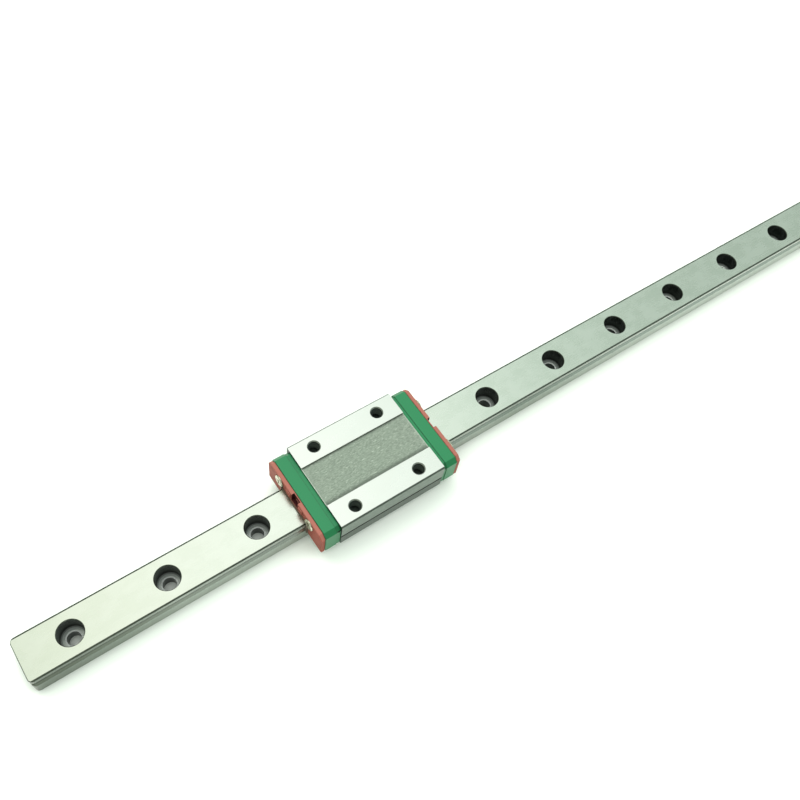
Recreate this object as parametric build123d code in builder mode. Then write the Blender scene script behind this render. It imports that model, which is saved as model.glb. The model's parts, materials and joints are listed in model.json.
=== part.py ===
"""Miniature linear guide: a recirculating-ball carriage on its counterbored rail.

The origin is the middle of the rail's underside. +X runs along the rail, +Z points up
out of the mounting face. "front" is the -X end of the carriage and "left" its +Y side.
"""
from build123d import *
import math
import os

os.makedirs("parts", exist_ok=True)

# ---- Driving dimensions, in millimetres ----

# Rail
rail_width = 12.0
rail_height = 8.0
rail_length = 300.0
rail_hole_pitch = 25.0
rail_hole_count = 12
rail_bore_radius = 1.75
rail_counterbore_radius = 3.25
rail_counterbore_depth = 4.5
rail_counterbore_break = 0.17
rail_bore_break = 0.25
rail_bevel_width = 0.45
rail_bevel_height = 0.18
rail_foot_chamfer = 0.3
rail_end_chamfer = 0.2
rail_end_round = 1.3

# Ball circuit: 3/32 inch balls, one loop on each side of the rail
ball_radius = 2.381 / 2
balls_per_loop = 30
ball_row_y = 6.2
ball_row_z = 5.3
groove_radius = 1.27
return_y = 10.2
return_bore_radius = 1.325
turn_tube_radius = 1.3
turn_radius = (return_y - ball_row_y) / 2
turn_centre_y = (return_y + ball_row_y) / 2

# Ball retainer: a spring wire that lies in a relief slot at the bottom of the rail's groove
wire_radius = 0.25
wire_y = 4.72
wire_bend_radius = 0.5
wire_end_y = 7.4
wire_end_clearance = 0.15
slot_half_height = 0.4
slot_bottom_y = 4.3

# Carriage, placed along the rail by the x of its middle
carriage_x = -54.4
block_length = 32.4
block_width = 27.0
block_top_z = 13.0
block_bottom_z = 3.0
block_edge_chamfer = 0.4
channel_half_width = 6.4
channel_top_z = 8.65
skirt_top_z = 7.5
skirt_inset = 0.1
skirt_groove_height = 0.8
skirt_groove_depth = 0.4
recess_half_width = 6.2
recess_depth = 0.45
bolt_spacing = 20.0
bolt_hole_radius = 1.5
bolt_hole_depth = 3.5
bolt_mouth_radius = 1.85

# End caps
cap_thickness = 4.6
cap_half_width = 13.25
cap_top_z = 12.1
cap_bottom_z = 3.5
cap_facet = 1.3
cap_rim_width = 1.2
cap_rim_drop = 0.15
cap_edge_round = 0.2
cap_edge_chamfer = 0.12
cap_notch_length = 0.9
cap_notch_height = 0.4
cap_notch_depth = 0.5
cap_channel_half_width = 6.5
cap_channel_top_z = 8.75
fit_gap = 0.05
guide_half_height = 1.4
grease_hole_radius = 0.8
grease_groove_width = 0.5
grease_groove_top_z = 11.55
grease_groove_y = 9.7

# End seals and their wiper lips
seal_thickness = 1.2
seal_half_width = 13.1
seal_top_z = 12.05
seal_bottom_z = 3.4
seal_facet = 1.35
seal_edge_chamfer = 0.15
seal_opening_half_width = 6.8
seal_opening_top_z = 8.8
seal_opening_facet = 0.6
lip_reach = 0.3
lip_wall = 0.4
lip_facet = 0.5
rail_running_gap = 0.1
pocket_width = 3.0
pocket_depth = 0.85
pocket_bottom_z = 9.25
port_z = 10.45
boss_width = 2.0
boss_height = 2.0
boss_corner_round = 0.5
boss_thickness = 0.28
boss_edge_round = 0.2
boss_y = 2.9

# Cap screws, M2 pan heads
screw_y = 7.3
screw_z = 10.2
screw_clearance_radius = 1.1
screw_thread_radius = 1.0
screw_length = 9.8
screw_head_radius = 1.75
screw_head_height = 0.5
screw_head_round = 0.35
screw_cross_width = 0.5
screw_cross_length = 2.2
screw_cross_depth = 0.4
screw_cross_taper = 12
tapped_radius = 1.02
tapped_depth = 5.5

# ---- Derived places ----

block_end = block_length / 2
cap_face = block_end + cap_thickness
seal_face = cap_face + seal_thickness
lip_face = seal_face + lip_reach
wire_end_x = block_end + turn_radius + turn_tube_radius + wire_radius + wire_end_clearance
turn_length = math.pi * turn_radius
loop_length = 2 * block_length + 2 * turn_length

ENDS = {"front": -1, "rear": 1}
SIDES = {"left": 1, "right": -1}


def end_plane(end, distance):
    """A plane across the rail, this far from the carriage's middle, facing out of one end."""
    return Plane(
        origin=(carriage_x + end * distance, 0, 0),
        x_dir=(0, end, 0),
        z_dir=(end, 0, 0),
    )


def band(half_width, bottom_z, top_z):
    """An upright rectangle, symmetric about the rail's middle, in the current sketch."""
    with Locations((0, (bottom_z + top_z) / 2)):
        return Rectangle(2 * half_width, top_z - bottom_z)


def saddle_outline(half_width, bottom_z, top_z, facet_width, facet_height):
    """A rectangle whose two upper corners are cut off, in the current sketch."""
    return Polygon(
        (-half_width, bottom_z),
        (half_width, bottom_z),
        (half_width, top_z - facet_height),
        (half_width - facet_width, top_z),
        (-half_width + facet_width, top_z),
        (-half_width, top_z - facet_height),
        align=None,
    )


def save(part, node):
    """Label one finished sub-part and write its STEP file."""
    part.label = node
    export_step(part, f"parts/{node}.step")


# ---- Rail ----

with BuildPart() as rail:
    with BuildSketch(Plane.YZ.offset(-rail_length / 2)) as rail_section:
        saddle_outline(rail_width / 2, 0, rail_height, rail_bevel_width, rail_bevel_height)
        chamfer(rail_section.vertices().group_by(Axis.Y)[0], rail_foot_chamfer)
        with Locations((ball_row_y, ball_row_z), (-ball_row_y, ball_row_z)):
            Circle(groove_radius, mode=Mode.SUBTRACT)
        slot_middle = (slot_bottom_y + ball_row_y) / 2
        with Locations((slot_middle, ball_row_z), (-slot_middle, ball_row_z)):
            Rectangle(ball_row_y - slot_bottom_y, 2 * slot_half_height, mode=Mode.SUBTRACT)
    extrude(amount=rail_length)
    # The sawn ends are rounded in plan and have a broken upper edge.
    with BuildSketch(Plane.XY):
        RectangleRounded(rail_length, rail_width, rail_end_round)
    extrude(amount=rail_height, mode=Mode.INTERSECT)
    with BuildSketch(Plane.XZ.offset(-rail_width / 2)):
        saddle_outline(rail_length / 2, 0, rail_height, rail_end_chamfer, rail_end_chamfer)
    extrude(amount=rail_width, mode=Mode.INTERSECT)
    with Locations(Plane.XY.offset(rail_height)):
        with GridLocations(rail_hole_pitch, 0, rail_hole_count, 1):
            CounterBoreHole(rail_bore_radius, rail_counterbore_radius, rail_counterbore_depth)
    rims = rail.edges().filter_by(GeomType.CIRCLE)
    chamfer(rims.group_by(Axis.Z)[-1], rail_counterbore_break)
    seats = rims.filter_by_position(Axis.Z, 1, rail_height - 1)
    chamfer(seats.filter_by(lambda rim: rim.radius == rail_bore_radius), rail_bore_break)
save(rail.part, "rail")

# ---- Carriage block ----

with BuildPart() as block:
    with BuildSketch(end_plane(1, -block_end)) as block_section:
        band(block_width / 2, skirt_top_z, block_top_z)
        chamfer(block_section.vertices().group_by(Axis.Y)[-1], block_edge_chamfer)
        band(
            block_width / 2 - skirt_groove_depth,
            skirt_top_z - skirt_groove_height,
            skirt_top_z,
        )
        band(
            block_width / 2 - skirt_inset,
            block_bottom_z,
            skirt_top_z - skirt_groove_height,
        )
        with Locations((0, block_bottom_z)):
            Rectangle(
                2 * channel_half_width,
                2 * (channel_top_z - block_bottom_z),
                mode=Mode.SUBTRACT,
            )
        with Locations((0, block_top_z)):
            Rectangle(2 * recess_half_width, 2 * recess_depth, mode=Mode.SUBTRACT)
        with Locations((ball_row_y, ball_row_z), (-ball_row_y, ball_row_z)):
            Circle(groove_radius, mode=Mode.SUBTRACT)
        with Locations((return_y, ball_row_z), (-return_y, ball_row_z)):
            Circle(return_bore_radius, mode=Mode.SUBTRACT)
    extrude(amount=block_length)
    with Locations(Plane((carriage_x, 0, block_top_z))):
        with GridLocations(bolt_spacing, bolt_spacing, 2, 2):
            CounterSinkHole(
                bolt_hole_radius,
                bolt_mouth_radius,
                depth=bolt_hole_depth,
                counter_sink_angle=90,
            )
    for end in ENDS.values():
        with Locations(end_plane(end, block_end)):
            with Locations((screw_y, screw_z), (-screw_y, screw_z)):
                Hole(tapped_radius, depth=tapped_depth)
save(block.part, "carriage_block")


# ---- End caps: they turn the balls round and close the ends of the block ----

def make_end_cap(end):
    with BuildPart() as cap:
        with BuildSketch(end_plane(end, block_end)):
            saddle_outline(
                cap_half_width - cap_rim_drop,
                cap_bottom_z,
                cap_top_z - cap_rim_drop,
                cap_facet,
                cap_facet,
            )
        extrude(amount=cap_rim_width)
        with BuildSketch(end_plane(end, block_end + cap_rim_width)):
            saddle_outline(cap_half_width, cap_bottom_z, cap_top_z, cap_facet, cap_facet)
        body = extrude(amount=cap_thickness - cap_rim_width)
        ridges = body.edges().filter_by(Axis.X).filter_by_position(Axis.Z, cap_channel_top_z, cap_top_z)
        fillet(ridges, cap_edge_round)
        outer_face = cap.faces().sort_by(Axis((0, 0, 0), (end, 0, 0)))[-1]
        chamfer(outer_face.edges(), cap_edge_chamfer)
        # A short notch in each side, beside the block, at the foot of the facet
        for side in SIDES.values():
            with Locations((
                carriage_x + end * (block_end + cap_notch_length / 2),
                side * cap_half_width,
                cap_top_z - cap_facet - cap_notch_height / 2,
            )):
                Box(
                    cap_notch_length,
                    2 * cap_notch_depth,
                    cap_notch_height,
                    mode=Mode.SUBTRACT,
                )
        # Openings right through: rail channel, screw holes and grease hole
        with BuildSketch(end_plane(end, block_end)):
            with Locations((0, cap_bottom_z)):
                Rectangle(2 * cap_channel_half_width, 2 * (cap_channel_top_z - cap_bottom_z))
            with Locations((screw_y, screw_z), (-screw_y, screw_z)):
                Circle(screw_clearance_radius)
            with Locations((0, port_z)):
                Circle(grease_hole_radius)
        extrude(amount=cap_thickness, mode=Mode.SUBTRACT)
        # Grease grooves in the face against the block, over the screws and down to the turns
        with BuildSketch(end_plane(end, block_end)):
            half_groove = grease_groove_width / 2
            with Locations((0, (port_z + grease_groove_top_z) / 2)):
                Rectangle(grease_groove_width, grease_groove_top_z - port_z)
            with Locations((0, grease_groove_top_z)):
                Rectangle(2 * (grease_groove_y + half_groove), grease_groove_width)
            drop = grease_groove_top_z + half_groove - ball_row_z
            for side in SIDES.values():
                with Locations((side * grease_groove_y, ball_row_z + drop / 2)):
                    Rectangle(grease_groove_width, drop)
        extrude(amount=grease_groove_width, mode=Mode.SUBTRACT)
        for side in SIDES.values():
            turn_centre = (carriage_x + end * block_end, side * turn_centre_y, ball_row_z)
            with Locations(turn_centre):
                Torus(turn_radius, turn_tube_radius, mode=Mode.SUBTRACT)
                Cylinder(
                    turn_radius,
                    2 * (guide_half_height + fit_gap),
                    mode=Mode.SUBTRACT,
                )
            # Hole that holds the bent end of the retainer wire
            hole_length = wire_end_y + 2 * fit_gap - cap_channel_half_width
            wire_hole = Plane(
                origin=(carriage_x + end * wire_end_x, side * cap_channel_half_width, ball_row_z),
                z_dir=(0, side, 0),
            )
            with BuildSketch(wire_hole):
                Circle(wire_radius + fit_gap)
            extrude(amount=hole_length, mode=Mode.SUBTRACT)
    return cap.part


# ---- End seals: a thin plate outside each cap, its grease port in a pocket between bosses ----

def make_end_seal(end):
    with BuildPart() as seal:
        with BuildSketch(end_plane(end, cap_face)):
            saddle_outline(seal_half_width, seal_bottom_z, seal_top_z, seal_facet, seal_facet)
        extrude(amount=seal_thickness)
        faces_along = seal.faces().sort_by(Axis((0, 0, 0), (end, 0, 0)))
        rims = faces_along[0].edges() + faces_along[-1].edges()
        chamfer(rims, seal_edge_chamfer)
        with BuildSketch(end_plane(end, seal_face)):
            with Locations((boss_y, port_z), (-boss_y, port_z)):
                RectangleRounded(boss_width, boss_height, boss_corner_round)
        bosses = extrude(amount=boss_thickness)
        boss_rims = bosses.edges().group_by(Axis((0, 0, 0), (end, 0, 0)))[-1]
        fillet(boss_rims, boss_edge_round)
        with BuildSketch(end_plane(end, cap_face)):
            saddle_outline(
                seal_opening_half_width + fit_gap,
                0,
                seal_opening_top_z + fit_gap,
                seal_opening_facet,
                seal_opening_facet,
            )
            with Locations((screw_y, screw_z), (-screw_y, screw_z)):
                Circle(screw_clearance_radius)
            with Locations((0, port_z)):
                Circle(grease_hole_radius)
        extrude(amount=seal_thickness, mode=Mode.SUBTRACT)
        # The pocket round the grease port is open at the top
        with BuildSketch(end_plane(end, seal_face)):
            band(pocket_width / 2, pocket_bottom_z, seal_top_z)
        extrude(amount=-pocket_depth, mode=Mode.SUBTRACT)
    return seal.part


def rail_opening():
    """Cut the rail's outline, with a running gap all round it, out of the current sketch."""
    groove_tongue_radius = groove_radius - rail_running_gap
    with BuildSketch(mode=Mode.PRIVATE) as opening:
        band(
            rail_width / 2 + rail_running_gap,
            0,
            rail_height + rail_running_gap,
        )
        with Locations((ball_row_y, ball_row_z), (-ball_row_y, ball_row_z)):
            Circle(groove_tongue_radius, mode=Mode.SUBTRACT)
    add(opening.sketch, mode=Mode.SUBTRACT)


def make_wiper_lip(end):
    """Rubber lip that follows the rail's outline and reaches into its grooves."""
    with BuildPart() as lip:
        with BuildSketch(end_plane(end, cap_face + fit_gap)):
            saddle_outline(
                seal_opening_half_width,
                seal_bottom_z,
                seal_opening_top_z,
                seal_opening_facet,
                seal_opening_facet,
            )
            rail_opening()
        extrude(amount=seal_thickness - fit_gap)
        with BuildSketch(end_plane(end, seal_face)):
            saddle_outline(
                rail_width / 2 + rail_running_gap + lip_wall,
                seal_bottom_z,
                rail_height + rail_running_gap + lip_wall,
                lip_facet,
                lip_facet,
            )
            rail_opening()
        extrude(amount=lip_reach)
    return lip.part


# ---- Cap screw: pan head with a cross recess ----

def make_cap_screw(end, side):
    with BuildPart() as screw:
        with BuildSketch(end_plane(end, seal_face)):
            with Locations((side * end * screw_y, screw_z)):
                Circle(screw_head_radius)
        extrude(amount=screw_head_height)
        top_face = screw.faces().sort_by(Axis((0, 0, 0), (end, 0, 0)))[-1]
        fillet(top_face.edges(), screw_head_round)
        with BuildSketch(end_plane(end, seal_face)):
            with Locations((side * end * screw_y, screw_z)):
                Circle(screw_thread_radius)
        extrude(amount=-screw_length)
        with BuildSketch(end_plane(end, seal_face + screw_head_height)):
            with Locations((side * end * screw_y, screw_z)):
                Rectangle(screw_cross_length, screw_cross_width)
                Rectangle(screw_cross_width, screw_cross_length)
        extrude(amount=-screw_cross_depth, taper=screw_cross_taper, mode=Mode.SUBTRACT)
    return screw.part


# ---- Return guide: the half-spool that forms the inside of each U-turn ----

def make_return_guide(end, side):
    centre_x = carriage_x + end * block_end
    with BuildPart() as guide:
        with Locations((centre_x, side * turn_centre_y, ball_row_z)):
            Cylinder(turn_radius - fit_gap, 2 * guide_half_height)
            Torus(turn_radius, turn_tube_radius, mode=Mode.SUBTRACT)
        # Only the half outside the block's end face
        with Locations((centre_x + end * (fit_gap + turn_radius), side * turn_centre_y, ball_row_z)):
            Box(2 * turn_radius, 2 * turn_radius, 4 * guide_half_height, mode=Mode.INTERSECT)
    return guide.part


# ---- Ball retainer: one bent wire on each side ----

def make_ball_retainer(side):
    with BuildPart() as retainer:
        with BuildLine(Plane((carriage_x, 0, ball_row_z))) as wire_path:
            FilletPolyline(
                (-wire_end_x, side * wire_end_y),
                (-wire_end_x, side * wire_y),
                (wire_end_x, side * wire_y),
                (wire_end_x, side * wire_end_y),
                radius=wire_bend_radius,
            )
        with BuildSketch(Plane(origin=wire_path.line @ 0, z_dir=wire_path.line % 0)):
            Circle(wire_radius)
        sweep(path=wire_path.line)
    return retainer.part


# ---- Balls: each loop is evenly filled, and split into its four stretches ----

def place_ball(distance, side):
    """Stretch name and centre of the ball this far round its loop."""
    if distance < block_length:
        x, y, stretch = distance - block_end, ball_row_y, "loaded"
    elif distance < block_length + turn_length:
        angle = (distance - block_length) / turn_radius
        x = block_end + turn_radius * math.sin(angle)
        y, stretch = turn_centre_y - turn_radius * math.cos(angle), "rear_turn"
    elif distance < 2 * block_length + turn_length:
        x, y, stretch = block_end + block_length + turn_length - distance, return_y, "return"
    else:
        angle = (distance - 2 * block_length - turn_length) / turn_radius
        x = -block_end - turn_radius * math.sin(angle)
        y, stretch = turn_centre_y + turn_radius * math.cos(angle), "front_turn"
    return stretch, (carriage_x + x, side * y, ball_row_z)


def sort_balls(side):
    """Ball centres of one loop, listed by stretch."""
    stretches = {}
    for number in range(balls_per_loop):
        distance = (number + 0.5) * loop_length / balls_per_loop
        stretch, centre = place_ball(distance, side)
        stretches.setdefault(stretch, []).append(centre)
    return stretches


def make_balls(centres):
    with BuildPart() as balls:
        with Locations(*centres):
            Sphere(ball_radius)
    return balls.part


# ---- Build every repeated piece ----

for end_name, end in ENDS.items():
    save(make_end_cap(end), f"end_cap_{end_name}")
    save(make_end_seal(end), f"end_seal_{end_name}")
    save(make_wiper_lip(end), f"wiper_lip_{end_name}")
    for side_name, side in SIDES.items():
        save(make_cap_screw(end, side), f"cap_screw_{end_name}_{side_name}")
        save(make_return_guide(end, side), f"return_guide_{end_name}_{side_name}")

for side_name, side in SIDES.items():
    save(make_ball_retainer(side), f"ball_retainer_{side_name}")
    for stretch, centres in sort_balls(side).items():
        save(make_balls(centres), f"balls_{stretch}_{side_name}")
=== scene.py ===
import json
import math

import bmesh
import bpy
from mathutils import Euler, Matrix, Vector


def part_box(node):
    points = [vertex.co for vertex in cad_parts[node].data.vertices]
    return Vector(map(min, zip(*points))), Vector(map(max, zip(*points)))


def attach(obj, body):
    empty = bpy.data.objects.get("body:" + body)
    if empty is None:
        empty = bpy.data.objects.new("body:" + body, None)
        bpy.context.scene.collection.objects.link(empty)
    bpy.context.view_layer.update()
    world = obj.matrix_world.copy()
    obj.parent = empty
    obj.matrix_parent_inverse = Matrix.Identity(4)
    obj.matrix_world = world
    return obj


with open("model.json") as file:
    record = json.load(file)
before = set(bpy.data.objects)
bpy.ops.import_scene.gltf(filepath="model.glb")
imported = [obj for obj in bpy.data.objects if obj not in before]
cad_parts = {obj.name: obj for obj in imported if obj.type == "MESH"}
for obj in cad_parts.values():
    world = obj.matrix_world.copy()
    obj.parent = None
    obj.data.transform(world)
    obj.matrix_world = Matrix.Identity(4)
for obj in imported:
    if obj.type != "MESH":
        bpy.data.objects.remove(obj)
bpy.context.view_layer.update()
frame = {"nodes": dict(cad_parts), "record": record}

MM = 0.001
rail_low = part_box("rail")[0]
block_low, block_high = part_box("carriage_block")
block_middle = (block_low + block_high) / 2
HOLE_PITCH = 25 * MM
BOLT_SPACING = 20 * MM

# ---- Places on the pieces, in millimetres ----
# A BAND is where one tone fades into the next, from its first value to its second.
# A LINE is narrow: its middle, then half its width.
# A REACH is the radius round a hole's axis, with a little to spare.

RAIL_TOP_BAND = (7.5, 7.6)
RAIL_LAND_BAND = (6.4, 6.6)
RAIL_GROOVE_Y = 5.95
RAIL_UPPER_LINE = (6.62, 0.14)
RAIL_LOWER_LINE = (4.5, 0.13)
RAIL_BEVEL_LINE = (7.68, 0.13)
RAIL_BEVEL_LINE_BAND = (0, 50)
RAIL_REAR_BAND = (-30, 60)
RAIL_PALE_START_BAND = (-130, -108)
RAIL_PALE_END_BAND = (5, -22)
RAIL_NEAR_END_SHADE_BAND = (-148, -125)
COUNTERBORE_REACH = 3.45
COUNTERBORE_SHADE_BAND = (2.65, 3.1)
COUNTERBORE_TOP_Z = 7.7
TURNING_GRAIN = 0.22

STRIP_BAND = (12.85, 12.95)
RECESS_BAND = (12.3, 12.4)
RECESS_HALF_WIDTH = 6.25
RECESS_MIDDLE_Y = 0.35
RECESS_WALL_BAND = (4.95, 6.05)
RECESS_PALE_END_X = 16.03
BLOCK_CHAMFER_BAND = (12.4, 12.5)
BLOCK_SIDE_Y = 12
BLOCK_SIDE_SPLIT_Z = 7.5
BLOCK_RELIEF_LINE = (7.0, 0.52)
BOLT_LOWEST_Z = 8
BOLT_MOUTH_REACH = 1.95
BOLT_THREAD_REACH = 1.56
BOLT_DEPTH_BAND = (12.6, 10.8)

CAP_RIM_LINE = (17.4, 0.10)
SEAL_SEAM_LINE = (20.8, 0.16)
POCKET_FLOOR_X = 21.14
POCKET_LINE = (0, 1.53)
POCKET_BOTTOM_Z = 9.22
NOTCH_LINE = (10.6, 0.21)
NOTCH_END_X = 17.12
NOTCH_INNER_Y = 12.7

# How far a face has to turn towards an axis before it counts, from not at all to fully
LEVEL = (0.85, 0.95)
DEAD_LEVEL = (0.95, 0.98)
SLOPED = (0.2, 0.4)
HALF_UP = (0.4, 0.5)
FACET_UP = (0.5, 0.6)
RAIL_END = (0.15, 0.4)
BLOCK_END = (0.8, 0.9)

# How metallic the dull places are, where 1 is bare steel
HOLE_WALL_METALLIC = 0.55
HOLE_FLOOR_METALLIC = 0.35
RECESS_METALLIC = 0.75

# How much painted light makes the rail's sides paler towards the rear and beside the carriage
REAR_PAINTED_LIGHT = 0.56
CARRIAGE_PAINTED_LIGHT = 0.26

# Relief that a bump pattern has where it is flat, and where only the grinding shows
FLAT_RELIEF = 0.5
GRIND_RELIEF = 0.1

# ---- Camera: looks down along the rail from its near end ----

CAMERA_HEADING = math.radians(-44.30)
CAMERA_ELEVATION = math.radians(58.39)
CAMERA_ROLL = math.radians(11.25)
CAMERA_DISTANCE = 261.4 * MM
CAMERA_AIM = Vector((-31.07 * MM, 15.66 * MM, 0))
CAMERA_LENS = 40.24
CAMERA_SENSOR = 36


def add_camera():
    data = bpy.data.cameras.new("camera")
    data.lens = CAMERA_LENS
    data.sensor_width = CAMERA_SENSOR
    data.clip_start = 1 * MM
    camera = bpy.data.objects.new("camera", data)
    bpy.context.scene.collection.objects.link(camera)
    tilt = Euler((math.pi / 2 - CAMERA_ELEVATION, 0, CAMERA_HEADING)).to_matrix()
    roll = Euler((0, 0, CAMERA_ROLL)).to_matrix()
    turn = tilt @ roll
    camera.location = CAMERA_AIM - turn @ Vector((0, 0, -CAMERA_DISTANCE))
    camera.rotation_euler = turn.to_euler()
    bpy.context.scene.camera = camera


# ---- Node helpers: every pattern is worked out from the object's own coordinates ----

class Surface:
    """A node material that is built up step by step."""

    def __init__(self, name):
        self.material = bpy.data.materials.new(name)
        self.material.use_nodes = True
        self.nodes = self.material.node_tree.nodes
        self.links = self.material.node_tree.links
        self.shader = self.nodes["Principled BSDF"]
        self.place = self.nodes.new("ShaderNodeTexCoord").outputs["Object"]
        normal = self.nodes.new("ShaderNodeNewGeometry").outputs["Normal"]
        self.along = self.axis(self.place, "X")
        self.leftward = self.axis(self.place, "Y")
        self.height = self.axis(self.place, "Z")
        self.across = self.math("ABSOLUTE", self.leftward)
        self.upward = self.axis(normal, "Z")
        self.endways = self.math("ABSOLUTE", self.axis(normal, "X"))

    def connect(self, source, target):
        if isinstance(source, bpy.types.NodeSocket):
            self.links.new(source, target)
        else:
            target.default_value = source

    def set(self, name, value):
        """Give one input of the shader a constant or another node's output."""
        self.connect(value, self.shader.inputs[name])

    def math(self, operation, a, b=0.0, c=0.0):
        node = self.nodes.new("ShaderNodeMath")
        node.operation = operation
        for source, target in zip((a, b, c), node.inputs):
            self.connect(source, target)
        return node.outputs[0]

    def both(self, a, b):
        """1 where two masks are both 1."""
        return self.math("MULTIPLY", a, b)

    def below(self, value, limit):
        """1 where a value is under a limit in millimetres, 0 elsewhere."""
        return self.math("LESS_THAN", value, limit * MM)

    def above(self, value, limit):
        """1 where a value is over a limit in millimetres, 0 elsewhere."""
        return self.math("GREATER_THAN", value, limit * MM)

    def near(self, value, middle, half_width):
        """1 where a value is within half_width of middle, both in millimetres, 0 elsewhere."""
        return self.math("COMPARE", value, middle * MM, half_width * MM)

    def axis(self, vector, name):
        node = self.nodes.new("ShaderNodeSeparateXYZ")
        self.links.new(vector, node.inputs[0])
        return node.outputs[name]

    def step(self, value, low, high):
        """0 below low, 1 above high, smooth between."""
        node = self.nodes.new("ShaderNodeMapRange")
        node.interpolation_type = "SMOOTHSTEP"
        self.connect(value, node.inputs["Value"])
        node.inputs["From Min"].default_value = low
        node.inputs["From Max"].default_value = high
        return node.outputs["Result"]

    def step_mm(self, value, low, high):
        """The same as step, with low and high in millimetres."""
        return self.step(value, low * MM, high * MM)

    def scale(self, value, low, high):
        """Stretch a value from 0 to 1 over the range low to high."""
        node = self.nodes.new("ShaderNodeMapRange")
        self.connect(value, node.inputs["Value"])
        node.inputs["To Min"].default_value = low
        node.inputs["To Max"].default_value = high
        return node.outputs["Result"]

    def noise(self, grain, detail=3.0, roughness=0.55, shift=(0, 0, 0)):
        """Noise whose grain is given in millimetres along x, y and z."""
        stretch = self.nodes.new("ShaderNodeMapping")
        self.links.new(self.place, stretch.inputs["Vector"])
        stretch.inputs["Scale"].default_value = [1 / (size * MM) for size in grain]
        stretch.inputs["Location"].default_value = shift
        node = self.nodes.new("ShaderNodeTexNoise")
        node.inputs["Scale"].default_value = 1.0
        node.inputs["Detail"].default_value = detail
        node.inputs["Roughness"].default_value = roughness
        self.links.new(stretch.outputs[0], node.inputs["Vector"])
        return node.outputs["Fac"]

    def noise_along(self, value, grain):
        """Noise that depends on one number only, with its grain in millimetres."""
        node = self.nodes.new("ShaderNodeTexNoise")
        node.noise_dimensions = "1D"
        node.inputs["Scale"].default_value = 1 / (grain * MM)
        self.links.new(value, node.inputs["W"])
        return node.outputs["Fac"]

    def from_middle(self):
        """Distance along the rail from the middle of the carriage."""
        return self.math("ABSOLUTE", self.math("SUBTRACT", self.along, block_middle.x))

    def radius(self, off_x, off_y):
        """Distance from an axis, given how far off it a place is along x and y."""
        return self.math("SQRT", self.math(
            "ADD",
            self.math("MULTIPLY", off_x, off_x),
            self.math("MULTIPLY", off_y, off_y),
        ))

    def bolt_radius(self):
        """Distance from the axis of the nearest tapped hole of the carriage."""
        off_x = self.math("SUBTRACT", self.from_middle(), BOLT_SPACING / 2)
        off_y = self.math("SUBTRACT", self.across, BOLT_SPACING / 2)
        return self.radius(off_x, off_y)

    def hole_radius(self):
        """Distance from the axis of the nearest screw hole of the rail."""
        from_hole = self.math("SUBTRACT", self.along, HOLE_PITCH / 2)
        off_x = self.math("WRAP", from_hole, -HOLE_PITCH / 2, HOLE_PITCH / 2)
        return self.radius(off_x, self.across)

    def paint_corner_shade(self, tint, reach, depth, own_piece_only=False):
        """Darken a colour in seams and corners narrower than reach, given in millimetres: painted
        shade from ambient occlusion.
        """
        node = self.nodes.new("ShaderNodeAmbientOcclusion")
        node.samples = 8
        node.only_local = own_piece_only
        node.inputs["Distance"].default_value = reach * MM
        shade = self.scale(node.outputs["AO"], 1.0 - depth, 1.0)
        return self.mix(shade, colour(0, 0, 0), tint)

    def mix(self, factor, a, b):
        node = self.nodes.new("ShaderNodeMix")
        node.data_type = "RGBA"
        self.connect(factor, node.inputs["Factor"])
        self.connect(a, node.inputs["A"])
        self.connect(b, node.inputs["B"])
        return node.outputs["Result"]

    def wash(self, base, tint, where, strength):
        """Lay a tint over a base colour at some strength, where a mask is 1."""
        return self.mix(self.math("MULTIPLY", where, strength), base, tint)

    def blend(self, factor, a, b):
        """The same as mix, for plain numbers."""
        node = self.nodes.new("ShaderNodeMix")
        node.data_type = "FLOAT"
        self.connect(factor, node.inputs["Factor"])
        self.connect(a, node.inputs["A"])
        self.connect(b, node.inputs["B"])
        return node.outputs["Result"]

    def bump(self, height, depth_mm, strength):
        node = self.nodes.new("ShaderNodeBump")
        node.inputs["Strength"].default_value = strength
        node.inputs["Distance"].default_value = depth_mm * MM
        self.links.new(height, node.inputs["Height"])
        self.links.new(node.outputs[0], self.shader.inputs["Normal"])


def colour(red, green, blue):
    return (red, green, blue, 1)


# ---- Materials ----

def rail_top(steel, smudge):
    """Ground steel with smudges and dark scuffs."""
    scuff = steel.noise((1.6, 0.8, 0.8), detail=6, roughness=0.75)
    smudged = steel.step(smudge, 0.35, 0.65)
    top = steel.mix(smudged, colour(0.585, 0.63, 0.57), colour(0.64, 0.68, 0.625))
    scuffed = steel.step(scuff, 0.64, 0.76)
    return steel.wash(top, colour(0.36, 0.385, 0.35), where=scuffed, strength=0.28)


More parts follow.
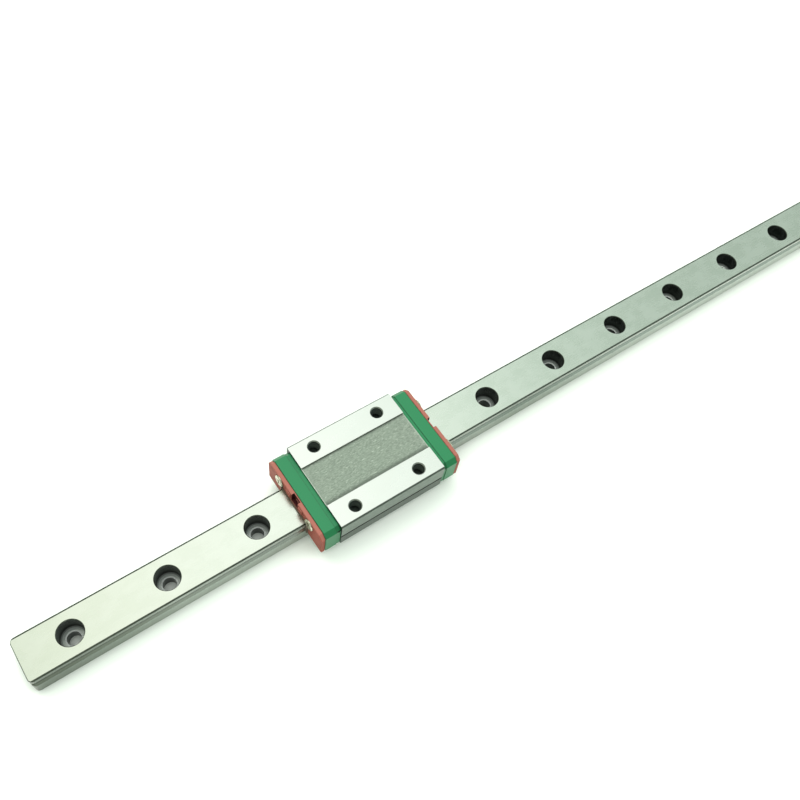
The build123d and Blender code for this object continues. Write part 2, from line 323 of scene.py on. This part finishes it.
def rail_side(steel, grind, in_groove):
    """Drawn steel: a land above and below the ball groove, with fine dark lines of painted shade
    along the groove.
    """
    upper_land = steel.mix(grind, colour(0.16, 0.185, 0.16), colour(0.28, 0.315, 0.27))
    lower_land = steel.mix(grind, colour(0.20, 0.23, 0.20), colour(0.36, 0.405, 0.35))
    groove = steel.mix(grind, colour(0.25, 0.285, 0.25), colour(0.39, 0.43, 0.38))
    side = steel.mix(steel.step_mm(steel.height, *RAIL_LAND_BAND), lower_land, upper_land)
    side = steel.mix(in_groove, side, groove)
    # Painted shade: dark lines where the groove and its lip shade the side
    groove_shade_lines = steel.math(
        "MAXIMUM",
        steel.near(steel.height, *RAIL_UPPER_LINE),
        steel.near(steel.height, *RAIL_LOWER_LINE),
    )
    side = steel.wash(side, colour(0.04, 0.045, 0.04), where=groove_shade_lines, strength=0.5)
    # Painted light: the sides are paler beside the carriage and towards the rear, standing in for
    # brighter reflections
    rear_painted_light = steel.math("MULTIPLY", steel.step_mm(steel.along, *RAIL_REAR_BAND), REAR_PAINTED_LIGHT)
    carriage_painted_light = steel.both(
        steel.step_mm(steel.along, *RAIL_PALE_START_BAND),
        steel.step_mm(steel.along, *RAIL_PALE_END_BAND),
    )
    carriage_painted_light = steel.math("MULTIPLY", carriage_painted_light, CARRIAGE_PAINTED_LIGHT)
    painted_light_share = steel.math("MAXIMUM", rear_painted_light, carriage_painted_light)
    side = steel.mix(painted_light_share, side, colour(0.75, 0.78, 0.74))
    # A painted dark reflection in a line under the bevel, towards the rear only
    bevel_dark_reflection = steel.both(
        steel.near(steel.height, *RAIL_BEVEL_LINE),
        steel.step_mm(steel.along, *RAIL_BEVEL_LINE_BAND),
    )
    side = steel.wash(side, colour(0.06, 0.07, 0.05), where=bevel_dark_reflection, strength=0.7)
    # Painted shade: a darker patch at the front end
    near_end_shade = steel.math("SUBTRACT", 1.0, steel.step_mm(steel.along, *RAIL_NEAR_END_SHADE_BAND))
    side = steel.wash(side, colour(0.05, 0.05, 0.04), where=near_end_shade, strength=0.3)
    return steel.mix(steel.step(steel.endways, *RAIL_END), side, colour(0.12, 0.125, 0.105))


def rail_bore(steel, radius):
    """A counterbored hole: dull wall darkened with painted shade, turned floor, painted highlight on
    the edge round the bolt hole.
    """
    flat_floor = steel.step(steel.upward, *LEVEL)
    # Painted highlight: the sloped edge round the bolt hole mirrors the bright sky
    edge_highlight = steel.math("SUBTRACT", steel.step(steel.upward, *HALF_UP), flat_floor)
    rings = steel.step(steel.noise_along(radius, TURNING_GRAIN), 0.35, 0.65)
    bore = steel.mix(flat_floor, colour(0.040, 0.052, 0.046), colour(0.13, 0.15, 0.14))
    bore = steel.mix(steel.both(flat_floor, rings), bore, colour(0.36, 0.39, 0.37))
    shaded_rim = steel.step_mm(radius, *COUNTERBORE_SHADE_BAND)
    bore = steel.wash(bore, colour(0.016, 0.02, 0.017), where=shaded_rim, strength=0.75)
    return steel.mix(edge_highlight, bore, colour(0.70, 0.74, 0.72))


def make_rail_steel():
    """Ground top, chamfers painted dark for the dark reflection they show, drawn sides, polished
    grooves, turned counterbores.
    """
    steel = Surface("rail_steel")
    smudge = steel.noise((6, 4, 4), detail=6)
    grind = steel.noise((14, 0.12, 0.12), detail=2)
    near_top = steel.step_mm(steel.height, *RAIL_TOP_BAND)
    on_top = steel.both(steel.step(steel.upward, *DEAD_LEVEL), near_top)
    on_chamfer = steel.both(steel.step(steel.upward, *SLOPED), near_top)
    on_chamfer = steel.math("SUBTRACT", on_chamfer, on_top)
    in_groove = steel.below(steel.across, RAIL_GROOVE_Y)
    radius = steel.hole_radius()
    in_bore = steel.both(
        steel.below(radius, COUNTERBORE_REACH),
        steel.below(steel.height, COUNTERBORE_TOP_Z),
    )
    # Painted dark reflection on the chamfers
    tint = steel.mix(on_chamfer, rail_side(steel, grind, in_groove), colour(0.11, 0.125, 0.105))
    tint = steel.mix(in_bore, tint, rail_bore(steel, radius))
    tint = steel.mix(on_top, tint, rail_top(steel, smudge))
    # Painted shade in the rail's own seams and corners
    steel.set("Base Color", steel.paint_corner_shade(tint, reach=0.6, depth=0.55, own_piece_only=True))
    # The floors of the holes are duller than their walls
    on_floor = steel.both(in_bore, steel.step(steel.upward, *HALF_UP))
    hole_metal = steel.blend(on_floor, HOLE_WALL_METALLIC, HOLE_FLOOR_METALLIC)
    steel.set("Metallic", steel.blend(in_bore, 1.0, hole_metal))
    top_rough = steel.math("ADD", steel.scale(smudge, 0.20, 0.34), steel.scale(grind, -0.02, 0.03))
    side_rough = steel.blend(in_groove, steel.scale(grind, 0.30, 0.45), 0.24)
    steel.set("Roughness", steel.blend(on_top, side_rough, top_rough))
    steel.bump(steel.blend(on_top, grind, FLAT_RELIEF), depth_mm=0.004, strength=0.25)
    return steel.material


def recess_skin(steel, speck):
    """Unground, speckled skin with bright flecks, with painted shade next to the walls of the
    recess.
    """
    fleck = steel.noise((1.8, 0.22, 0.22), detail=4, roughness=0.7, shift=(3, 7, 1))
    cloud = steel.noise((4.0, 1.6, 1.6), detail=4)
    speckled = steel.step(speck, 0.34, 0.66)
    skin = steel.mix(speckled, colour(0.235, 0.28, 0.235), colour(0.41, 0.47, 0.40))
    clouded = steel.step(cloud, 0.38, 0.66)
    skin = steel.wash(skin, colour(0.32, 0.38, 0.32), where=clouded, strength=0.4)
    flecked = steel.step(fleck, 0.61, 0.66)
    skin = steel.wash(skin, colour(0.80, 0.86, 0.78), where=flecked, strength=0.75)
    # Painted shade along the walls of the recess, centred a little off its middle line
    from_line = steel.math("ABSOLUTE", steel.math("SUBTRACT", steel.leftward, RECESS_MIDDLE_Y * MM))
    wall_shade = steel.step_mm(from_line, *RECESS_WALL_BAND)
    skin = steel.wash(skin, colour(0.02, 0.024, 0.02), where=wall_shade, strength=0.45)
    # A pale line painted across both ends of the recess
    pale_end_line = steel.above(steel.from_middle(), RECESS_PALE_END_X)
    return steel.wash(skin, colour(0.84, 0.88, 0.82), where=pale_end_line, strength=0.5)


def block_side(steel, grind):
    """Drawn and mottled sides, with a line of painted shade for the relief groove along each, and
    dark ends.
    """
    upper_side = steel.mix(grind, colour(0.178, 0.213, 0.184), colour(0.26, 0.30, 0.265))
    lower_side = steel.mix(grind, colour(0.104, 0.126, 0.108), colour(0.154, 0.179, 0.158))
    side = steel.mix(steel.above(steel.height, BLOCK_SIDE_SPLIT_Z), lower_side, upper_side)
    mottle = steel.noise((0.9, 0.35, 0.35), detail=4, roughness=0.7)
    mottled = steel.step(mottle, 0.42, 0.60)
    side = steel.wash(side, colour(0.075, 0.09, 0.077), where=mottled, strength=0.36)
    # Painted shade: a dark line where the relief groove shades the side
    relief_shade = steel.both(
        steel.above(steel.across, BLOCK_SIDE_Y),
        steel.near(steel.height, *BLOCK_RELIEF_LINE),
    )
    side = steel.mix(relief_shade, side, colour(0.02, 0.024, 0.02))
    return steel.mix(steel.step(steel.endways, *BLOCK_END), side, colour(0.05, 0.06, 0.052))


def make_block_steel():
    """Ground strips on top, an unground mottled recess between them, drawn sides, dark edges."""
    steel = Surface("block_steel")
    grind = steel.noise((10, 0.12, 0.12), detail=2)
    smudge = steel.noise((7, 4, 4), detail=4)
    speck = steel.noise((0.8, 0.26, 0.26), detail=5, roughness=0.75)
    on_strip = steel.both(
        steel.step(steel.upward, *LEVEL),
        steel.step_mm(steel.height, *STRIP_BAND),
    )
    in_recess = steel.both(
        steel.step_mm(steel.height, *RECESS_BAND),
        steel.below(steel.across, RECESS_HALF_WIDTH),
    )
    on_chamfer = steel.both(
        steel.step(steel.upward, *SLOPED),
        steel.math("SUBTRACT", steel.step_mm(steel.height, *BLOCK_CHAMFER_BAND), in_recess),
    )
    # Painted shade: the chamfer on the left side gets a darker copy of the tone than the right
    on_left = steel.above(steel.leftward, BLOCK_SIDE_Y)
    chamfer = steel.mix(on_left, colour(0.13, 0.15, 0.13), colour(0.055, 0.065, 0.055))
    tint = steel.mix(on_chamfer, block_side(steel, grind), chamfer)
    # Tapped holes: a grey countersink, and a thread darkened with painted shade inside the hole
    bolt_radius = steel.bolt_radius()
    above_foot = steel.above(steel.height, BOLT_LOWEST_Z)
    in_mouth = steel.both(steel.below(bolt_radius, BOLT_MOUTH_REACH), above_foot)
    in_thread = steel.both(steel.below(bolt_radius, BOLT_THREAD_REACH), above_foot)
    tint = steel.mix(in_mouth, tint, colour(0.34, 0.37, 0.34))
    deep = steel.step_mm(steel.height, *BOLT_DEPTH_BAND)
    thread = steel.mix(deep, colour(0.030, 0.038, 0.034), colour(0.06, 0.08, 0.068))
    tint = steel.mix(in_thread, tint, thread)
    tint = steel.mix(in_recess, tint, recess_skin(steel, speck))
    strip = steel.mix(smudge, colour(0.65, 0.675, 0.645), colour(0.72, 0.74, 0.71))
    tint = steel.mix(on_strip, tint, strip)
    # Painted shade in seams and corners
    steel.set("Base Color", steel.paint_corner_shade(tint, reach=0.6, depth=0.5))
    dull = steel.math("MAXIMUM", in_recess, in_thread)
    steel.set("Metallic", steel.blend(dull, 1.0, RECESS_METALLIC))
    plain_rough = steel.blend(in_recess, 0.40, 0.62)
    strip_rough = steel.scale(smudge, 0.22, 0.34)
    steel.set("Roughness", steel.blend(on_strip, plain_rough, strip_rough))
    relief = steel.blend(in_recess, steel.math("MULTIPLY", grind, GRIND_RELIEF), speck)
    steel.bump(relief, depth_mm=0.05, strength=0.7)
    return steel.material


def make_moulded(name, low, high, facet, top, roughness, gloss):
    """Moulded plastic: flow clouds, painted light and shade as separate tones on facets and top, and
    painted shade in the seams.
    """
    plastic = Surface(name)
    outward = plastic.from_middle()
    cloud = plastic.noise((4, 4, 4), detail=3)
    skin = plastic.noise((0.25, 0.25, 0.25), detail=2)
    tint = plastic.mix(plastic.step(cloud, 0.3, 0.7), colour(*low), colour(*high))
    # Painted light and shade: facets and top get lit and shaded copies of the colour
    tint = plastic.mix(plastic.step(plastic.upward, *FACET_UP), tint, colour(*facet))
    tint = plastic.mix(plastic.step(plastic.upward, *LEVEL), tint, colour(*top))
    # Painted shade in patches at the foot of the cap's rim and in the seam between cap and seal
    seam_shade = plastic.math(
        "MAXIMUM",
        plastic.near(outward, *CAP_RIM_LINE),
        plastic.near(outward, *SEAL_SEAM_LINE),
    )
    patches = plastic.step(plastic.noise((1.2, 1.2, 1.2), detail=3), 0.35, 0.6)
    seam_shade = plastic.both(seam_shade, plastic.scale(patches, 0.05, 0.35))
    tint = plastic.mix(seam_shade, tint, colour(0.02, 0.03, 0.02))
    # A notch beside the block is painted dark: painted shade
    notch_shade = plastic.both(
        plastic.near(plastic.height, *NOTCH_LINE),
        plastic.below(outward, NOTCH_END_X),
    )
    notch_shade = plastic.both(notch_shade, plastic.above(plastic.across, NOTCH_INNER_Y))
    tint = plastic.mix(notch_shade, tint, colour(0.01, 0.02, 0.012))
    # The pocket of the grease port is painted dark red: painted shade
    pocket_shade = plastic.both(
        plastic.near(plastic.across, *POCKET_LINE),
        plastic.above(plastic.height, POCKET_BOTTOM_Z),
    )
    pocket_shade = plastic.both(pocket_shade, plastic.above(outward, POCKET_FLOOR_X))
    tint = plastic.mix(pocket_shade, tint, colour(0.045, 0.010, 0.010))
    # Painted shade in seams and corners
    plastic.set("Base Color", plastic.paint_corner_shade(tint, reach=0.25, depth=0.7))
    plastic.set("Roughness", plastic.scale(skin, roughness - 0.06, roughness + 0.08))
    plastic.set("Specular IOR Level", gloss)
    plastic.bump(skin, depth_mm=0.006, strength=0.5)
    return plastic.material


def make_rubber():
    rubber = Surface("lip_rubber")
    skin = rubber.noise((0.3, 0.3, 0.3), detail=4)
    rubber.set("Base Color", rubber.mix(skin, colour(0.07, 0.045, 0.030), colour(0.14, 0.09, 0.062)))
    rubber.set("Roughness", rubber.scale(skin, 0.45, 0.7))
    rubber.bump(skin, depth_mm=0.01, strength=0.6)
    return rubber.material


def make_plain_steel(name, low, high, roughness):
    """Bright steel with stains, with painted shade in its corners."""
    steel = Surface(name)
    spot = steel.noise((0.5, 0.5, 0.5), detail=4)
    tint = steel.mix(spot, colour(*low), colour(*high))
    steel.set("Base Color", steel.paint_corner_shade(tint, reach=0.5, depth=0.9))
    steel.set("Metallic", 1.0)
    steel.set("Roughness", steel.scale(spot, roughness - 0.08, roughness + 0.1))
    steel.bump(spot, depth_mm=0.004, strength=0.5)
    return steel.material


def finish_nodes():
    """Give every CAD node the material of its slot."""
    made = {
        "rail_steel": make_rail_steel(),
        "block_steel": make_block_steel(),
        "cap_plastic": make_moulded(
            "cap_plastic",
            low=(0.015, 0.165, 0.062),
            high=(0.017, 0.178, 0.068),
            facet=(0.011, 0.138, 0.050),
            top=(0.016, 0.172, 0.067),
            roughness=0.34,
            gloss=0.30,
        ),
        "seal_plastic": make_moulded(
            "seal_plastic",
            low=(0.27, 0.074, 0.052),
            high=(0.345, 0.10, 0.074),
            facet=(0.33, 0.122, 0.095),
            top=(0.33, 0.122, 0.095),
            roughness=0.50,
            gloss=0.06,
        ),
        "guide_plastic": make_moulded(
            "guide_plastic",
            low=(0.66, 0.63, 0.55),
            high=(0.74, 0.72, 0.64),
            facet=(0.70, 0.67, 0.60),
            top=(0.70, 0.67, 0.60),
            roughness=0.45,
            gloss=0.40,
        ),
        "lip_rubber": make_rubber(),
        "screw_steel": make_plain_steel(
            "screw_steel",
            low=(0.50, 0.46, 0.34),
            high=(0.80, 0.76, 0.64),
            roughness=0.25,
        ),
        "wire_steel": make_plain_steel(
            "wire_steel",
            low=(0.5, 0.5, 0.49),
            high=(0.62, 0.62, 0.60),
            roughness=0.3,
        ),
        "ball_steel": make_plain_steel(
            "ball_steel",
            low=(0.70, 0.70, 0.70),
            high=(0.78, 0.78, 0.78),
            roughness=0.12,
        ),
    }
    for part in frame["record"]["subparts"]:
        mesh = frame["nodes"][part["node"]].data
        mesh.materials.clear()
        mesh.materials.append(made[part["material_slot"]])
    return made


# ---- Threads of the four tapped holes, which the CAD leaves plain ----

THREAD_RADIUS = 1.5 * MM
THREAD_HEIGHT = 0.27 * MM
THREAD_PITCH = 0.5 * MM
THREAD_STEPS = 40
THREAD_LEAD_IN = THREAD_STEPS / 4
THREAD_TOP = 0.45 * MM
THREAD_TURNS = 5
THREAD_ROOT = 0.03 * MM
THREAD_SECTION = ((0, 0.46), (1, 0.08), (1, -0.08), (0, -0.46))


def add_thread(name, middle, material):
    """One ridge with a V section that winds down the wall of a hole."""
    ridge = bmesh.new()
    rows = []
    for number in range(THREAD_TURNS * THREAD_STEPS + 1):
        angle = -math.tau * number / THREAD_STEPS
        drop = THREAD_TOP + THREAD_PITCH * number / THREAD_STEPS
        growth = min(1, number / THREAD_LEAD_IN)
        row = []
        for reach, rise in THREAD_SECTION:
            out = THREAD_RADIUS + THREAD_ROOT - reach * growth * (THREAD_HEIGHT + THREAD_ROOT)
            row.append(ridge.verts.new((
                middle.x + out * math.cos(angle),
                middle.y + out * math.sin(angle),
                middle.z - drop + rise * THREAD_PITCH,
            )))
        rows.append(row)
    for above, below in zip(rows, rows[1:]):
        for here, there in ((0, 1), (1, 2), (2, 3), (3, 0)):
            ridge.faces.new((above[here], above[there], below[there], below[here]))
    ridge.faces.new(rows[0][::-1])
    ridge.faces.new(rows[-1])
    bmesh.ops.recalc_face_normals(ridge, faces=ridge.faces)
    mesh = bpy.data.meshes.new(name)
    ridge.to_mesh(mesh)
    ridge.free()
    mesh.materials.append(material)
    thread = bpy.data.objects.new(name, mesh)
    bpy.context.scene.collection.objects.link(thread)
    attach(thread, "carriage")


def add_threads(material):
    for end_name, end in (("front", -1), ("rear", 1)):
        for side_name, side in (("left", 1), ("right", -1)):
            middle = Vector((
                block_middle.x + end * BOLT_SPACING / 2,
                side * BOLT_SPACING / 2,
                block_high.z,
            ))
            add_thread(f"bolt_thread_{end_name}_{side_name}", middle, material)


# ---- Stage: pale floor, soft studio light ----

FLOOR_SIZE = 6
SOFTBOX_DISTANCE = 0.8


def add_floor():
    bpy.ops.mesh.primitive_plane_add(size=FLOOR_SIZE, location=(0, 0, rail_low.z))
    floor = bpy.context.object
    floor.name = "floor"
    floor.data.materials.append(make_floor_paper())


def make_floor_paper():
    paper = Surface("floor_paper")
    cloud = paper.noise((60, 60, 60), detail=2)
    tint = paper.mix(cloud, colour(0.88, 0.93, 0.885), colour(0.91, 0.95, 0.91))
    # Painted contact shadow on the floor near the pieces
    paper.set("Base Color", paper.paint_corner_shade(tint, reach=1.8, depth=0.45))
    paper.set("Roughness", 0.9)
    paper.set("Specular IOR Level", 0.1)
    return paper.material


def add_softbox(name, direction, size, power):
    """A square area light that faces the carriage and isn't mirrored in it."""
    data = bpy.data.lights.new(name, "AREA")
    data.shape = "SQUARE"
    data.size = size
    data.energy = power
    light = bpy.data.objects.new(name, data)
    light.visible_glossy = False
    direction = Vector(direction).normalized()
    light.location = block_middle + direction * SOFTBOX_DISTANCE
    light.rotation_euler = direction.to_track_quat("Z", "Y").to_euler()
    bpy.context.scene.collection.objects.link(light)


SKY_PEAK = Vector((0.136, 0.364, 0.921)).normalized()
# Warm on the near side of the sky, greener towards the rail's far end
SKY_TINTS = (
    (-0.05, (1.00, 1.00, 0.92)),
    (0.17, (1.00, 1.00, 1.00)),
    (0.40, (1.00, 1.07, 1.05)),
)
SKY_STOPS = (
    (0.00, (0.52, 0.57, 0.52)),
    (0.80, (0.64, 0.70, 0.64)),
    (0.89, (0.68, 0.75, 0.68)),
    (0.935, (0.92, 1.00, 0.92)),
    (0.97, (1.38, 1.42, 1.33)),
    (0.99, (1.65, 1.66, 1.60)),
)


def add_world():
    """A soft sky, brightest overhead towards the far side and dim at the horizon."""
    world = bpy.data.worlds.new("studio")
    bpy.context.scene.world = world
    world.use_nodes = True
    nodes, links = world.node_tree.nodes, world.node_tree.links
    coordinates = nodes.new("ShaderNodeTexCoord")
    closeness = nodes.new("ShaderNodeVectorMath")
    closeness.operation = "DOT_PRODUCT"
    closeness.inputs[1].default_value = SKY_PEAK
    ramp = nodes.new("ShaderNodeValToRGB")
    stops = ramp.color_ramp.elements
    for position, _ in SKY_STOPS[1:-1]:
        stops.new(position)
    for stop, (position, tint) in zip(stops, SKY_STOPS):
        stop.position = position
        stop.color = colour(*tint)
    links.new(coordinates.outputs["Generated"], closeness.inputs[0])
    links.new(closeness.outputs["Value"], ramp.inputs["Fac"])
    parts = nodes.new("ShaderNodeSeparateXYZ")
    links.new(coordinates.outputs["Generated"], parts.inputs[0])
    spread = nodes.new("ShaderNodeMapRange")
    first_place = SKY_TINTS[0][0]
    last_place = SKY_TINTS[-1][0]
    spread.inputs["From Min"].default_value = first_place
    spread.inputs["From Max"].default_value = last_place
    links.new(parts.outputs["X"], spread.inputs["Value"])
    tints = nodes.new("ShaderNodeValToRGB")
    tints.color_ramp.elements.new((SKY_TINTS[1][0] - first_place) / (last_place - first_place))
    for stop, (_, tint) in zip(tints.color_ramp.elements, SKY_TINTS):
        stop.color = colour(*tint)
    links.new(spread.outputs["Result"], tints.inputs["Fac"])
    product = nodes.new("ShaderNodeVectorMath")
    product.operation = "MULTIPLY"
    links.new(ramp.outputs["Color"], product.inputs[0])
    links.new(tints.outputs["Color"], product.inputs[1])
    links.new(product.outputs[0], nodes["Background"].inputs["Color"])
    nodes["Background"].inputs["Strength"].default_value = 1.0


def set_look():
    view = bpy.context.scene.view_settings
    view.view_transform = "Standard"
    view.look = "None"


materials = finish_nodes()
add_threads(materials["block_steel"])
add_camera()
add_floor()
add_world()
add_softbox("ceiling", direction=(0, 0, 1), size=1.6, power=11)
add_softbox("key", direction=(-0.15, 0.62, 0.75), size=0.5, power=1.5)
set_look()

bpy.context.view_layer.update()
